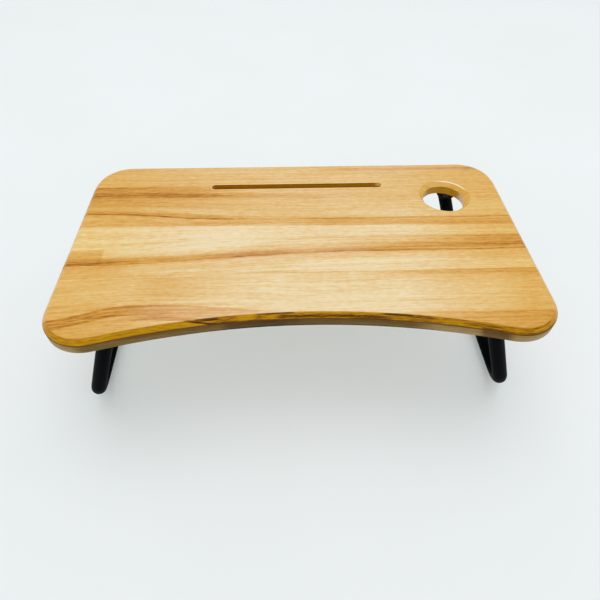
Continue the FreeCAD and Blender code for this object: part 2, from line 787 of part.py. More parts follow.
def check(nodes):
    """Stop if any object failed or any sub-part has no sound solid."""
    for item in doc.Objects:
        if {"Invalid", "Error"} & set(item.State):
            raise RuntimeError(f"{item.Label} failed: {item.State}")
    for node in nodes:
        if node.Shape.isNull() or not node.Shape.isValid() or not node.Shape.Solids:
            raise RuntimeError(f"{node.Label} has no valid solid")


sub_parts = build()
check(sub_parts)
os.makedirs("parts", exist_ok=True)
for node in sub_parts:
    node.Shape.exportStep(f"parts/{node.Label}.step")
    print(f"{node.Label}: {len(node.Shape.Solids)} solid(s), {node.Shape.Volume / 1000:.2f} cm3")
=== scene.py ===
"""The looks of a bed tray table: a wood-look board on two folding legs of black tube.

Everything is in metres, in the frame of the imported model: X along the board's width, Y from the
curved-in front edge to the back, Z up from the floor. The board's figure is laid out in millimetres,
on the film's face.
"""

import json
import math

import bpy
from mathutils import Matrix, Vector

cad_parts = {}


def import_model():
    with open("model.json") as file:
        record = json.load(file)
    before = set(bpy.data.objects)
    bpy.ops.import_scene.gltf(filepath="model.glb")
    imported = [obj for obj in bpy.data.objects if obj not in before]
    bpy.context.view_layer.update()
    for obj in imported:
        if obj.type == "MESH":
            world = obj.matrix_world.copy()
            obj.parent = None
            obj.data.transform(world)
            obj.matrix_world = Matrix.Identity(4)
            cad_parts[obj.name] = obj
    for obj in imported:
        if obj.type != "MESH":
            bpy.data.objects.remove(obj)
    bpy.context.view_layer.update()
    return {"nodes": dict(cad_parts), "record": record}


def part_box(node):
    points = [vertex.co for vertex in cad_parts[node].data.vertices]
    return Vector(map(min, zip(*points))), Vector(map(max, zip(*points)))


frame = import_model()

MM = 0.001

# ---- the camera, fitted to the board's outline ----
PICTURE = 600  # pixels across the square picture
FOCAL = 480.7  # pixels
SENSOR = 36.0  # millimetres
CAMERA_PLACE = Vector((-0.0221, -0.4887, 0.6354))
PITCH = 48.29  # degrees below level
YAW = 2.73  # degrees to the right
ROLL = 0.776  # degrees, right side up

# ---- what the finishes are placed by ----
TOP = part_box("decor_film")[1].z
mounts = {mount["name"]: mount for mount in frame["record"]["mounts"]}
CUP_PLACE = Vector(mounts["cup_hole"]["pos_m"])
CUP_RADIUS = mounts["cup_hole"]["dims"]["r_mm"] * MM
BEVEL = 6.5 * MM
SLOT_PLACE = Vector(mounts["tablet_slot"]["pos_m"])
SLOT_REACH = mounts["tablet_slot"]["dims"]["slot_length_mm"] * MM / 2
SLOT_WIDTH = 11 * MM


def colour(red, green, blue):
    """A display colour, 0 to 255, as the linear colour that a shader takes."""
    shares = (red / 255, green / 255, blue / 255)
    linear = [share / 12.92 if share <= 0.04045 else ((share + 0.055) / 1.055) ** 2.4 for share in shares]
    return (*linear, 1.0)


# ---- nodes ----


def fill(tree, node, inputs):
    """Link or fill a node's inputs."""
    for key, value in inputs.items():
        if isinstance(value, bpy.types.NodeSocket):
            tree.links.new(value, node.inputs[key])
        else:
            node.inputs[key].default_value = value


def put(tree, kind, inputs=None, **settings):
    """Add a node, set it up, and link or fill its inputs."""
    node = tree.nodes.new(kind)
    for name, value in settings.items():
        setattr(node, name, value)
    fill(tree, node, inputs or {})
    return node


def calc(tree, operation, *values, clamp=False):
    """One step of arithmetic on numbers or sockets."""
    node = put(tree, "ShaderNodeMath", dict(enumerate(values)), operation=operation, use_clamp=clamp)
    return node.outputs[0]


def product(tree, first, *others):
    """Numbers or sockets multiplied together."""
    result = first
    for other in others:
        result = calc(tree, "MULTIPLY", result, other)
    return result


def swing(tree, value, reach, middle=0.0):
    """A value from 0 to 1, spread over a reach round a middle."""
    return calc(tree, "MULTIPLY_ADD", calc(tree, "SUBTRACT", value, 0.5), reach, middle)


def vector_calc(tree, operation, *values):
    """One step of arithmetic on vectors. Gives the node's outputs."""
    return put(tree, "ShaderNodeVectorMath", dict(enumerate(values)), operation=operation).outputs


def ease(tree, value, start, end, low=0.0, high=1.0):
    """Low up to start and high past end, with a smooth step between.

    The step stays in its range by itself. A clamp on each of so many would make the film's shader
    too big.
    """
    inputs = {"Value": value, "From Min": start, "From Max": end, "To Min": low, "To Max": high}
    node = put(tree, "ShaderNodeMapRange", inputs, interpolation_type="SMOOTHSTEP", clamp=False)
    return node.outputs[0]


def between(tree, value, rise, fall):
    """1 between two smooth steps and 0 outside them. Each step is given from its 0 to its 1."""
    return product(tree, ease(tree, value, *rise), ease(tree, value, *fall))


def mix(tree, share, first, second, how="MIX"):
    """Two colours mixed by a share of the second."""
    node = put(tree, "ShaderNodeMix", {0: share, 6: first, 7: second}, data_type="RGBA", blend_type=how)
    return node.outputs[2]


def tint(tree, first, second):
    """Two colours multiplied."""
    return mix(tree, 1.0, first, second, "MULTIPLY")


def noise(tree, place, scale, detail=2.0, roughness=0.5):
    """Smooth noise, 0 to 1. The scale is one number, or one for each axis."""
    if isinstance(scale, tuple):
        place = put(tree, "ShaderNodeMapping", {"Vector": place, "Scale": scale}).outputs[0]
        scale = 1.0
    inputs = {"Vector": place, "Scale": scale, "Detail": detail, "Roughness": roughness}
    return put(tree, "ShaderNodeTexNoise", inputs).outputs["Fac"]


def ramp(tree, value, stops):
    """A colour picked along a row of stops."""
    node = put(tree, "ShaderNodeValToRGB", {"Fac": value})
    marks = node.color_ramp.elements
    while len(marks) < len(stops):
        marks.new(0.5)
    for mark, (place, tone) in zip(marks, stops):
        mark.position = place
        mark.color = tone
    return node.outputs["Color"]


def new_group(name, inputs, outputs):
    """A shader node group with named sockets. Gives the tree, its inputs and its output node."""
    tree = bpy.data.node_groups.new(name, "ShaderNodeTree")
    for label, kind, value in inputs:
        socket = tree.interface.new_socket(name=label, in_out="INPUT", socket_type=kind)
        socket.default_value = value
    for label, kind in outputs:
        tree.interface.new_socket(name=label, in_out="OUTPUT", socket_type=kind)
    return tree, put(tree, "NodeGroupInput").outputs, put(tree, "NodeGroupOutput").inputs


def use(tree, group, inputs):
    """Place a group in a material. Gives its outputs."""
    return put(tree, "ShaderNodeGroup", inputs, node_tree=group).outputs


NUMBER, VECTOR = "NodeSocketFloat", "NodeSocketVector"

# A patch's sides, in the order in which the tables below give them.
PATCH_ACROSS = ("Front", "Back", "Front Fade", "Back Fade")
PATCH_ALONG = ("Left", "Right", "Left Fade", "Right Fade")

# The fine lines along the grain: how closely they lie to the metre, along and across it, their detail
# and their roughness.
GRAIN_LINES = {
    "Broad": ((4.5, 240, 0), 2.0, 0.5),
    "Thin": ((11, 800, 0), 2.0, 0.6),
    "Dashes": ((55, 1300, 0), 1.0, 0.5),
    "Pores": ((150, 2600, 0), 1.0, 0.5),
}
PORE_STEP = (0.6, 0.74)  # only the peaks of their noise are pores
DRIFT_SCALE = (5, 22, 0)  # to the metre
DRIFT_REACH = 5 * MM  # how far the lines drift, from side to side


def soft_patch_group():
    """A patch of the figure: a rectangle with a soft edge of its own width on each side."""
    names = ("Along", "Across", *PATCH_ACROSS, *PATCH_ALONG, "Tone")
    inputs = [(name, NUMBER, 0.0) for name in names]
    tree, into, out = new_group("soft_patch", inputs, [("Tone", NUMBER)])
    tone = into["Tone"]
    for place, sides in (("Across", PATCH_ACROSS), ("Along", PATCH_ALONG)):
        low, high, low_fade, high_fade = (into[side] for side in sides)
        start = calc(tree, "SUBTRACT", low, low_fade)
        end = calc(tree, "ADD", high, high_fade)
        inside = ease(tree, into[place], start, low), ease(tree, into[place], high, end, 1.0, 0.0)
        tone = product(tree, tone, *inside)
    tree.links.new(tone, out["Tone"])
    return tree


def long_grain_group():
    """Fine lines along the grain: broad streaks, thin streaks, short dashes and pores."""
    outputs = [(name, NUMBER) for name in GRAIN_LINES]
    tree, into, out = new_group("long_grain", [("Place", VECTOR, (0, 0, 0))], outputs)
    drift = swing(tree, noise(tree, into["Place"], DRIFT_SCALE), DRIFT_REACH)
    shift = put(tree, "ShaderNodeCombineXYZ", {"Y": drift}).outputs[0]
    place = vector_calc(tree, "ADD", into["Place"], shift)[0]
    for name, (scale, detail, roughness) in GRAIN_LINES.items():
        lines = noise(tree, place, scale, detail, roughness)
        if name == "Pores":
            lines = ease(tree, lines, *PORE_STEP)
        tree.links.new(lines, out[name])
    return tree


def speckle_group():
    """A fine even texture, as of powder coat, moulded plastic or pressed fibres: its height and tone."""
    inputs = [("Place", VECTOR, (0, 0, 0)), ("Grain", NUMBER, 1000.0), ("Blotch", NUMBER, 30.0)]
    tree, into, out = new_group("speckle", inputs, [("Height", NUMBER), ("Tone", NUMBER)])
    fine = noise(tree, into["Place"], into["Grain"], detail=2.0, roughness=0.6)
    broad = noise(tree, into["Place"], into["Blotch"], detail=3.0, roughness=0.55)
    tree.links.new(fine, out["Height"])
    tree.links.new(broad, out["Tone"])
    return tree


SOFT_PATCH = soft_patch_group()
LONG_GRAIN = long_grain_group()
SPECKLE = speckle_group()


def new_material(name):
    """An empty material with its shader wired up.

    Gives the material, its tree, the shader and the coordinates.
    """
    material = bpy.data.materials.new(name)
    material.use_nodes = True
    tree = material.node_tree
    tree.nodes.clear()
    shader = put(tree, "ShaderNodeBsdfPrincipled")
    put(tree, "ShaderNodeOutputMaterial", {"Surface": shader.outputs[0]})
    coordinates = put(tree, "ShaderNodeTexCoord")
    return material, tree, shader, coordinates


def set_inputs(tree, shader, **inputs):
    """Link or fill a shader's inputs, with _ for each space in a name."""
    fill(tree, shader, {key.replace("_", " "): value for key, value in inputs.items()})


def bump(tree, height, distance, strength=1.0):
    """A normal from a height from 0 to 1, where 1 stands the distance proud."""
    inputs = {"Height": height, "Distance": distance, "Strength": strength}
    return put(tree, "ShaderNodeBump", inputs).outputs[0]


# ---- the decor film's figure ----

# The film's tones, from the palest wood to the darkest vein.
FILM_TONES = [
    (0.00, colour(235, 217, 178)),
    (0.20, colour(229, 202, 151)),
    (0.38, colour(223, 185, 122)),
    (0.54, colour(216, 169, 96)),
    (0.70, colour(204, 149, 68)),
    (0.84, colour(185, 125, 46)),
    (1.00, colour(144, 87, 24)),
]
# The same tones where the wood turns pinkish.
BLUSH_TONES = [
    (0.00, colour(238, 220, 190)),
    (0.38, colour(228, 190, 144)),
    (0.70, colour(206, 156, 108)),
    (1.00, colour(152, 98, 54)),
]
FILM_BASE = 0.36  # the tone that the patches are added to
FAR = 400.0  # past every edge of the board, in millimetres

# The figure's patches, in millimetres: across the grain as front, back, front fade and back fade,
# along it as left, right, left fade and right fade, and the tone that the patch adds.
PLANKS = {
    # The two deeper ends are partly the figure and partly painted shade.
    "deeper left end, partly painted shade": ((-FAR, FAR, 1, 1), (-FAR, -290, 1, 230), 0.13),
    "deeper right end, partly painted shade": ((-FAR, FAR, 1, 1), (290, FAR, 180, 1), 0.14),
    "pale middle plank, left": ((-24, 21, 24, 1.2), (-FAR, -150, 1, 120), -0.27),
    "pale middle plank, middle": ((-6, 21, 26, 1.2), (-60, 90, 120, 160), -0.22),
    "pale above the upper vein": ((40, 68, 3, 12), (80, FAR, 60, 1), -0.08),
    "pale below the main vein": ((-62, -44, 8, 14), (-180, 90, 90, 160), -0.15),
    "pale middle plank, right": ((-1, 21, 3, 1.2), (210, FAR, 120, 1), -0.08),
    "pale strip by the front seam": ((-68, -50, 1, 8), (20, FAR, 60, 1), -0.13),
    "pale front plank": ((-FAR, -72, 1, 6), (-30, 60, 170, 130), -0.24),
    "pale front plank, right": ((-134, -80, 2, 8), (130, 230, 60, 50), -0.12),
    "pale behind the lens": ((-112, -76, 8, 8), (-FAR, -210, 1, 40), -0.08),
    "deeper behind the lens": ((-98, -76, 8, 6), (-160, -70, 60, 40), 0.08),
    "shade below the front seam": ((-72, -68, 20, 0.8), (20, FAR, 60, 1), 0.13),
    "line of the front seam": ((-69.2, -68.4, 0.6, 0.4), (-20, FAR, 60, 1), 0.12),
    "shade above the long seam": ((21, 33, 0.8, 3), (60, FAR, 90, 1), 0.16),
    "shade above the long seam, middle": ((22, 33, 1, 4), (-120, 20, 70, 60), 0.08),
    "amber front right plank": ((-FAR, -138, 1, 0.6), (120, FAR, 90, 1), 0.15),
}
VEINS = {
    "brown band at the back left": ((89, 113, 6, 3), (-FAR, -180, 1, 130), 0.24),
    "core of the brown band": ((92, 97, 3, 6), (-290, -80, 30, 110), 0.13),
    "tail of the brown band": ((82, 90, 5, 6), (-160, 20, 80, 60), 0.13),
    "upper line of the brown band": ((112, 115, 2, 2), (-FAR, -220, 1, 60), 0.06),
    "amber below the brown band": ((58, 86, 10, 6), (-FAR, -210, 1, 230), 0.15),
    "orange streak at the back right": ((151, 156, 3, 3), (90, FAR, 70, 1), 0.22),
    "upper vein, left": ((34.5, 36.5, 1.5, 8), (-FAR, -150, 1, 120), 0.22),
    "upper vein, middle": ((34.5, 37, 1.2, 3), (-110, 40, 60, 60), 0.12),
    "upper vein, right": ((34.5, 36, 1.5, 4), (40, FAR, 60, 1), 0.14),
    "line of the upper vein": ((34.4, 35.6, 0.8, 0.8), (-FAR, FAR, 1, 1), 0.17),
    "amber below the upper vein": ((24, 34, 4, 1), (-FAR, -100, 1, 100), 0.06),
    "main vein, left": ((-32, -28, 2, 13), (-250, -90, 4, 110), 0.32),
    "main vein, right": ((-31.5, -28, 1.5, 8), (-40, 110, 60, 100), 0.14),
    "shade round the main vein": ((-38, -26, 14, 14), (-230, 90, 60, 90), 0.08),
    "line of the main vein": ((-30.8, -29.8, 0.8, 1.2), (-90, FAR, 60, 1), 0.15),
    "knot at the left edge": ((-31, -5, 1.5, 3), (-FAR, -254, 1, 4), 0.24),
    "foot of the knot": ((-31, -28, 1.5, 9), (-FAR, -254, 1, 4), 0.14),
    "thin line at the right": ((-4.5, -3, 1.5, 1), (0, FAR, 80, 1), 0.17),
    "amber above the main vein": ((-31, -6, 2, 3), (110, FAR, 120, 1), 0.17),
    "dark core above the main vein": ((-24, -18, 3, 3), (150, FAR, 60, 1), 0.13),
    "front lens, left": ((-131, -117, 2, 1), (-FAR, -210, 1, 40), 0.22),
    "front lens, right": ((-139, -117, 2, 1), (-170, -80, 40, 60), 0.24),
    "lens outline, back": ((-119.5, -117, 1.5, 0.6), (-290, -80, 1, 60), 0.10),
    "lens outline, front": ((-132, -129, 1, 2), (-290, -230, 20, 30), 0.12),
    "lens outline, front right": ((-139, -136, 1, 2), (-190, -120, 20, 30), 0.10),
    "lens streak": ((-125, -123.5, 1, 1), (-290, -160, 1, 60), 0.06),
    "amber below the lens": ((-FAR, -133, 1, 1), (-FAR, -230, 1, 60), 0.08),
}
# Where the wood turns pinkish, and by how much of the whole way.
BLUSHES = {
    "front lens": ((-139, -118, 2, 3), (-170, -60, 50, 60), 0.55),
    "main vein": ((-36, -20, 6, 6), (-80, 60, 60, 60), 0.5),
    "back right streak": ((149, 158, 3, 3), (120, FAR, 60, 1), 0.6),
    "below the slot": ((78, 100, 8, 8), (-40, 40, 40, 40), 0.3),
}

# From here to the end of the film's parts, two or four numbers for a step are what ease takes: where it
# starts and ends, and its values there if they aren't 0 and 1. A span is the two steps for between.

# Where the figure's lines rise and fall along the board, in millimetres: the steps of the rise along
# the board, and those that bring it in and out across the grain.
BENDS = {
    "upper vein": ([(-330, 50, 20, 0)], [(20, 56, 0, 1), (58, 98, 1, 0)]),
    "main vein": ([(-290, 80, -19, 0)], [(22, -25, 0, 1), (-50, -95, 1, 0)]),
    "front lens": ([(-300, -200, -22, 0), (-190, 50, 0, -20)], [(-55, -115, 0, 1)]),
}
LENS_SHARE = 0.35  # how far the fine lines by the front lens follow its outline
SEAM_TILT = (-40, 10, 0.0, 0.012)  # how steeply the seams run, from the front to the back
WANDER_SCALE = (6, 14, 0)  # the veins' slow wander, to the metre
WANDER_REACH = 7.0  # millimetres from side to side
WOBBLE_SCALE = (28, 60, 0)  # the wobble of the veins' edges, to the metre
WOBBLE_REACH = 2.6
DASH_SCALE = (32, 560, 0)  # the dashes that break up the veins, to the metre
DASH_SWING = 1.5  # how strongly they do
MOTTLE_SCALE = (120, 260, 120)  # to the metre
MOTTLE_SHARE = 0.38
LINE_SHARES = {"Broad": 0.52, "Thin": 0.52, "Dashes": 0.5}  # how far the fine lines change the tone
PORE_SHARE = 0.1
PALE_CONTRAST = 1.25  # how strongly they change the palest tone
CONTRAST_LOSS = 0.7  # how much less they change the darkest
END_AMBER_AND_SHADE = colour(255, 252, 226)  # what the film's colour is multiplied by at the board's ends: partly the figure, partly painted shade
END_STEP = (130, 300)
FILM_GLOSS = 0.30
GLOSS_RANGE = 0.16
PORE_DEPTH = 0.5
FILM_RELIEF = 0.05 * MM
RELIEF_SHARE = 0.35
FILM_SHINE = 0.11


def add_patches(tree, tone, patches, along, across):
    """A tone with each patch of a set added to it."""
    for sides_across, sides_along, patch_tone in patches.values():
        inputs = {"Along": along, "Across": across, "Tone": patch_tone}
        inputs.update(zip(PATCH_ACROSS, sides_across))
        inputs.update(zip(PATCH_ALONG, sides_along))
        tone = calc(tree, "ADD", tone, use(tree, SOFT_PATCH, inputs)["Tone"])
    return tone


def bend(tree, along, across, rises, fades):
    """How far one of the bends raises the figure's lines at a point."""
    raised = 0.0
    for step in rises:
        raised = calc(tree, "ADD", raised, ease(tree, along, *step))
    for step in fades:
        raised = product(tree, raised, ease(tree, across, *step))
    return raised


def straightened_grain(tree, along, across):
    """Where a point lies across the grain, once the lines that rise and fall are drawn straight.

    Gives it for the veins and for the fine lines, which bend less at the front lens.
    """
    upper, main, lens = (bend(tree, along, across, *steps) for steps in BENDS.values())
    level = calc(tree, "SUBTRACT", calc(tree, "SUBTRACT", across, upper), main)
    return calc(tree, "SUBTRACT", level, lens), calc(tree, "MULTIPLY_ADD", lens, -LENS_SHARE, level)


def film_place(tree, coordinates):
    """A point's place on the film: the film runs on over the bevels and down the walls.

    Gives the place along and across the board and down from the top, in millimetres, and how far it
    faces the front.
    """
    place = put(tree, "ShaderNodeSeparateXYZ", {0: coordinates.outputs["Object"]}).outputs
    facing = put(tree, "ShaderNodeSeparateXYZ", {0: coordinates.outputs["Normal"]}).outputs
    drop = calc(tree, "SUBTRACT", place["Z"], TOP)
    flat = []
    for axis in "XY":
        run = product(tree, drop, facing[axis])
        flat.append(product(tree, calc(tree, "SUBTRACT", place[axis], run), 1 / MM))
    return *flat, product(tree, drop, 1 / MM), product(tree, facing["Y"], -1.0)


def wood_tone(tree, coordinates, along, across):
    """The figure's colour on the film, with painted shade towards the board's ends, and the fine lines in
    it.
    """
    place = coordinates.outputs["Object"]
    tilt = product(tree, along, ease(tree, across, *SEAM_TILT))
    seams = calc(tree, "ADD", across, tilt)
    wander = swing(tree, noise(tree, place, WANDER_SCALE, detail=3.0), WANDER_REACH)
    grain, fine_grain = straightened_grain(tree, along, calc(tree, "ADD", across, wander))
    wobble = swing(tree, noise(tree, place, WOBBLE_SCALE), WOBBLE_REACH)

    metres = {"X": product(tree, along, MM), "Y": product(tree, fine_grain, MM)}
    straight = put(tree, "ShaderNodeCombineXYZ", metres).outputs[0]
    lines = use(tree, LONG_GRAIN, {"Place": straight})
    dashes = noise(tree, straight, DASH_SCALE, roughness=0.6)
    vein = add_patches(tree, 0.0, VEINS, along, calc(tree, "ADD", grain, wobble))
    vein = product(tree, vein, swing(tree, dashes, DASH_SWING, 1.0))
    tone = calc(tree, "ADD", add_patches(tree, FILM_BASE, PLANKS, along, seams), vein)

    mottle = noise(tree, place, MOTTLE_SCALE, roughness=0.6)
    contrast = calc(tree, "MULTIPLY_ADD", tone, -CONTRAST_LOSS, PALE_CONTRAST)
    details = [(lines[name], share) for name, share in LINE_SHARES.items()]
    for detail, share in (*details, (mottle, MOTTLE_SHARE)):
        tone = calc(tree, "ADD", tone, product(tree, swing(tree, detail, share), contrast))
    tone = calc(tree, "ADD", tone, product(tree, lines["Pores"], PORE_SHARE))
    blush = add_patches(tree, 0.0, BLUSHES, along, grain)
    shade = mix(tree, blush, ramp(tree, tone, FILM_TONES), ramp(tree, tone, BLUSH_TONES))
    # Deeper and more amber towards the board's ends: partly the figure, partly painted shade.
    ends = ease(tree, calc(tree, "ABSOLUTE", along), *END_STEP)
    return mix(tree, ends, shade, tint(tree, shade, END_AMBER_AND_SHADE)), lines


# ---- the decor film's edges ----

# Where the front edge's bevel is streaked with brown: down from the top as foot, head, foot fade and
# head fade, along the board as left, right, left fade and right fade, and how strongly.
EDGE_STREAKS = {
    "head of the dark patch": ((-2.4, -0.2, 0.9, 0.3), (-121, -103, 5, 8), 1.5),
    "speckled patch": ((-6.5, 0, 0.5, 0.5), (-104, -84, 6, 14), 0.55),
    "foot of the patch": ((-6.8, -5.6, 0.5, 0.8), (-104, -60, 8, 30), 0.8),
    "dark line left of the middle": ((-1.5, -0.3, 0.5, 0.3), (-46, -17, 14, 10), 1.2),
    "lines in the middle": ((-4.8, -3.4, 0.8, 0.7), (-24, 48, 14, 14), 1.0),
    "lines right of the middle": ((-5.8, -3.6, 0.7, 0.8), (62, 90, 14, 16), 1.0),
    "dark line at the right": ((-2.0, -0.6, 0.6, 0.5), (98, 120, 10, 6), 1.5),
    "brown line at the right": ((-2.6, -0.6, 0.8, 0.5), (118, 140, 6, 16), 0.7),
    "brown in the middle": ((-6.5, -2.2, 0.5, 1), (-50, 140, 20, 20), 0.32),
    "streaks at the right": ((-6.5, 0, 0.5, 0.5), (140, 250, 30, 30), 0.32),
    "line near the right corner": ((-3.6, -2.2, 0.7, 0.7), (190, 218, 14, 12), 0.45),
    "foot near the right corner": ((-7.0, -5.0, 0.5, 0.8), (205, 285, 14, 12), 0.6),
    "head near the right corner": ((-1.8, -0.6, 0.5, 0.4), (250, 275, 10, 10), 0.4),
    "speckles at the left": ((-6.5, 0, 0.5, 0.5), (-FAR, -150, 1, 20), 0.12),
}
# Brown lines that fall to the right, laid out in the same way up and down from where such a line runs.
FALLING_STREAKS = {
    "line under the dark patch": ((-0.5, 0.5, 0.6, 0.6), (-133, -102, 8, 8), 1.4),
}
FALL = 0.175  # how steeply such a line runs down the bevel
FALL_START = -139  # where it leaves the top edge
# The front bevel's tones, from its brown streaks to its bright gold.
GOLD_TONES = [
    (0.00, colour(70, 38, 0)),
    (0.30, colour(130, 82, 0)),
    (0.62, colour(190, 138, 0)),
    (1.00, colour(226, 178, 4)),
]
GOLD_MIDDLE = 0.6
GOLD_SWING = 0.95  # how far fine streaks change the gold's tone
BROWN_SHARE = 0.54  # how far a full brown streak does
PATCHY_STEP = (0.35, 0.6, 0.7, 1.0)  # how blotches break the brown up
BROKEN_STEP = (0.36, 0.6, 1.0, 0.6)  # how fine streaks do

# Where the wall below the bevel is darker or paler, laid out as the brown streaks are, and the tone
# that it adds.
WALL_SHADES = {
    "dark left of the middle": ((-FAR, 0, 1, 1), (-84, -34, 14, 50), -0.22),
    "darker middle": ((-FAR, 0, 1, 1), (-30, 110, 30, 40), -0.07),
    "pale right of the middle": ((-FAR, 0, 1, 1), (160, 196, 40, 8), 0.26),
    "dark near the right leg": ((-FAR, -9, 1, 3), (204, 222, 16, 14), -0.12),
    "pale left corner": ((-FAR, 0, 1, 1), (-FAR, -262, 1, 20), 0.26),
    "pale right corner": ((-FAR, 0, 1, 1), (240, FAR, 16, 1), 0.26),
}
# The wall's tones, from its dark middle to its pale ends.
WALL_TONES = [
    (0.00, colour(52, 36, 12)),
    (0.35, colour(108, 83, 37)),
    (0.70, colour(160, 135, 86)),
    (1.00, colour(200, 184, 144)),
]
WALL_MIDDLE = 0.34
WALL_SWING = 0.4  # how far streaks and blotches each change the wall's tone
WALL_FOOT = (-8, -15, 0.0, 0.08)  # how much paler the wall gets, by the depth
WALL_RIM = (-16.2, -17.6)  # its lower edge, by the depth
DARK_RIM = (100, 200, 0.3, 0.0)  # how dark that edge is, by the way from the board's middle

# Where the edges' parts begin, by the depth in millimetres.
BEVEL_STEP = (-0.9, -0.2, 1.0, 0.0)
WALL_STEP = (-BEVEL / MM - 0.4, -BEVEL / MM + 0.4, 1.0, 0.0)
FRONT_STEP = (0.12, 0.6)  # by how far the film faces the front
FOOT_BROWN = colour(84, 48, 4)  # the thin line between the front bevel and the wall
FOOT_SPAN = (-5.4, -6.2), (-7.6, -6.8)
FOOT_SHARE = 0.8
EDGE_SLANT = 0.3  # how far the edge's streaks run out over it where it curves
STREAK_SCALE = (0.07, 0.9, 0)  # to the millimetre, along and down
BLOTCH_SCALE = (0.02, 0.2, 0)

# The cup hole: what the film's colour is multiplied by at the sides of its bevel and on its wall, and
# the colour of the painted highlight on its far rim and that of the pale sides of its wall.
CUP_GOLD = colour(255, 248, 190)
CUP_WALL = colour(206, 190, 84)
CUP_RIM_HIGHLIGHT = colour(255, 244, 214)
CUP_PALE = colour(236, 210, 174)
CUP_SURROUND = (CUP_RADIUS + 2 * BEVEL, CUP_RADIUS + 3 * BEVEL)  # where the hole's own shades end
CUP_SIDE_GOLD = (0.2, 0.9, 0.3, 1.0)  # by the way to either side
# Where the painted highlight on the cup hole's far rim lies.
CUP_HIGHLIGHT_SPAN = (-0.1, -0.5), (-1.6, -1.0)  # by the depth
CUP_HIGHLIGHT_BACK = (0.2, 0.6)  # by the way to the back
CUP_HIGHLIGHT_RIGHT = (-0.3, 0.2)  # by the way to the right
CUP_PALE_RIGHT = (0.8, 1.0, 0.0, 0.75)
CUP_PALE_LEFT = (-0.95, -0.5, 0.75, 0.0)

# The tablet slot: what the film's colour is multiplied by on its walls, the colour of the painted
# highlight at its ends and that of the painted highlight on the rim round it.
SLOT_WALL = colour(214, 178, 40)
SLOT_END_HIGHLIGHT = colour(255, 218, 112)
SLOT_RIM_HIGHLIGHT = colour(252, 226, 172)
# The walls' painted shading: darker at the head, and painted shade at the foot.
SLOT_HEAD = (-0.6, -3.5, 0.62, 1.1)  # the walls' brightness, by the depth
SLOT_FOOT_SHADE = (-6.5, -9.5, 1.0, 0.6)
GLEAM_RIGHT = (116, 121)  # by the way along the board
GLEAM_LEFT = (-123, -120, 0.4, 0.0)
GLEAM_SPAN = (-7, -4), (-0.6, -1.8)  # by the depth
SLOT_SIDE = (2.0, 1.0)  # by the distance from the slot's outline
# Where the painted highlight round the slot's rim lies, and how strong it is.
SLOT_HIGHLIGHT_SPAN = (0.0, 0.4), (1.8, 0.8)
SLOT_HIGHLIGHT_SHARE = 0.45


def round_cup(tree, coordinates):
    """Where a point lies about the cup hole.

    Gives 1 outside the hole and its bevel and 0 in them, and the way from the hole's middle, to the
    right and to the back.
    """
    away = vector_calc(tree, "SUBTRACT", coordinates.outputs["Object"], CUP_PLACE)[0]
    away = vector_calc(tree, "MULTIPLY", away, (1, 1, 0))[0]
    reach = vector_calc(tree, "LENGTH", away)["Value"]
    way = put(tree, "ShaderNodeSeparateXYZ", {0: vector_calc(tree, "NORMALIZE", away)[0]}).outputs
    return ease(tree, reach, *CUP_SURROUND), way["X"], way["Y"]


def slot_distance(tree, along, across):
    """How far a point lies from the tablet slot's outline, in millimetres, and less than 0 in it."""
    past = calc(tree, "ABSOLUTE", calc(tree, "SUBTRACT", along, SLOT_PLACE.x / MM))
    past = calc(tree, "MAXIMUM", calc(tree, "SUBTRACT", past, (SLOT_REACH - SLOT_WIDTH / 2) / MM), 0.0)
    side = calc(tree, "SUBTRACT", across, SLOT_PLACE.y / MM)
    squares = calc(tree, "ADD", product(tree, past, past), product(tree, side, side))
    return calc(tree, "SUBTRACT", calc(tree, "SQRT", squares), SLOT_WIDTH / MM / 2)


def front_gold(tree, along, depth, streaks, blotches):
    """The front bevel: bright gold, with fine streaks and darker brown lines."""
    strength = add_patches(tree, 0.0, EDGE_STREAKS, along, depth)
    fallen = product(tree, calc(tree, "SUBTRACT", along, FALL_START), FALL)
    strength = add_patches(tree, strength, FALLING_STREAKS, along, calc(tree, "ADD", depth, fallen))
    broken = product(tree, ease(tree, blotches, *PATCHY_STEP), ease(tree, streaks, *BROKEN_STEP))
    dark = calc(tree, "MULTIPLY", broken, strength, clamp=True)
    tone = swing(tree, streaks, GOLD_SWING, GOLD_MIDDLE)
    return ramp(tree, calc(tree, "MULTIPLY_ADD", dark, -BROWN_SHARE, tone), GOLD_TONES)


def wall_brown(tree, along, depth, streaks, blotches):
    """The wall below the bevel: brown, paler at the board's ends, its lower edge dark in the middle."""
    tone = swing(tree, streaks, WALL_SWING, WALL_MIDDLE)
    tone = calc(tree, "ADD", tone, swing(tree, blotches, WALL_SWING))
    tone = calc(tree, "ADD", tone, ease(tree, depth, *WALL_FOOT))
    tone = add_patches(tree, tone, WALL_SHADES, along, depth)
    middle = ease(tree, calc(tree, "ABSOLUTE", along), *DARK_RIM)
    rim = product(tree, ease(tree, depth, *WALL_RIM), middle)
    return ramp(tree, calc(tree, "SUBTRACT", tone, rim), WALL_TONES)


def cup_shades(tree, shade, depth, bevel, wall, to_right, to_back):
    """The cup hole: a golden bevel at its sides, a painted highlight on its far rim, a pale wall at its
    sides.
    """
    side = calc(tree, "ABSOLUTE", to_right)
    golden = product(tree, bevel, ease(tree, side, *CUP_SIDE_GOLD))
    shade = mix(tree, golden, shade, tint(tree, shade, CUP_GOLD))
    # A painted highlight along the top edge of the cup hole's far rim.
    rim = between(tree, depth, *CUP_HIGHLIGHT_SPAN)
    rim = product(tree, rim, ease(tree, to_back, *CUP_HIGHLIGHT_BACK), ease(tree, to_right, *CUP_HIGHLIGHT_RIGHT))
    shade = mix(tree, rim, shade, CUP_RIM_HIGHLIGHT)
    pale = calc(tree, "ADD", ease(tree, to_right, *CUP_PALE_RIGHT), ease(tree, to_right, *CUP_PALE_LEFT))
    deep = mix(tree, pale, tint(tree, shade, CUP_WALL), CUP_PALE)
    return mix(tree, wall, shade, deep)


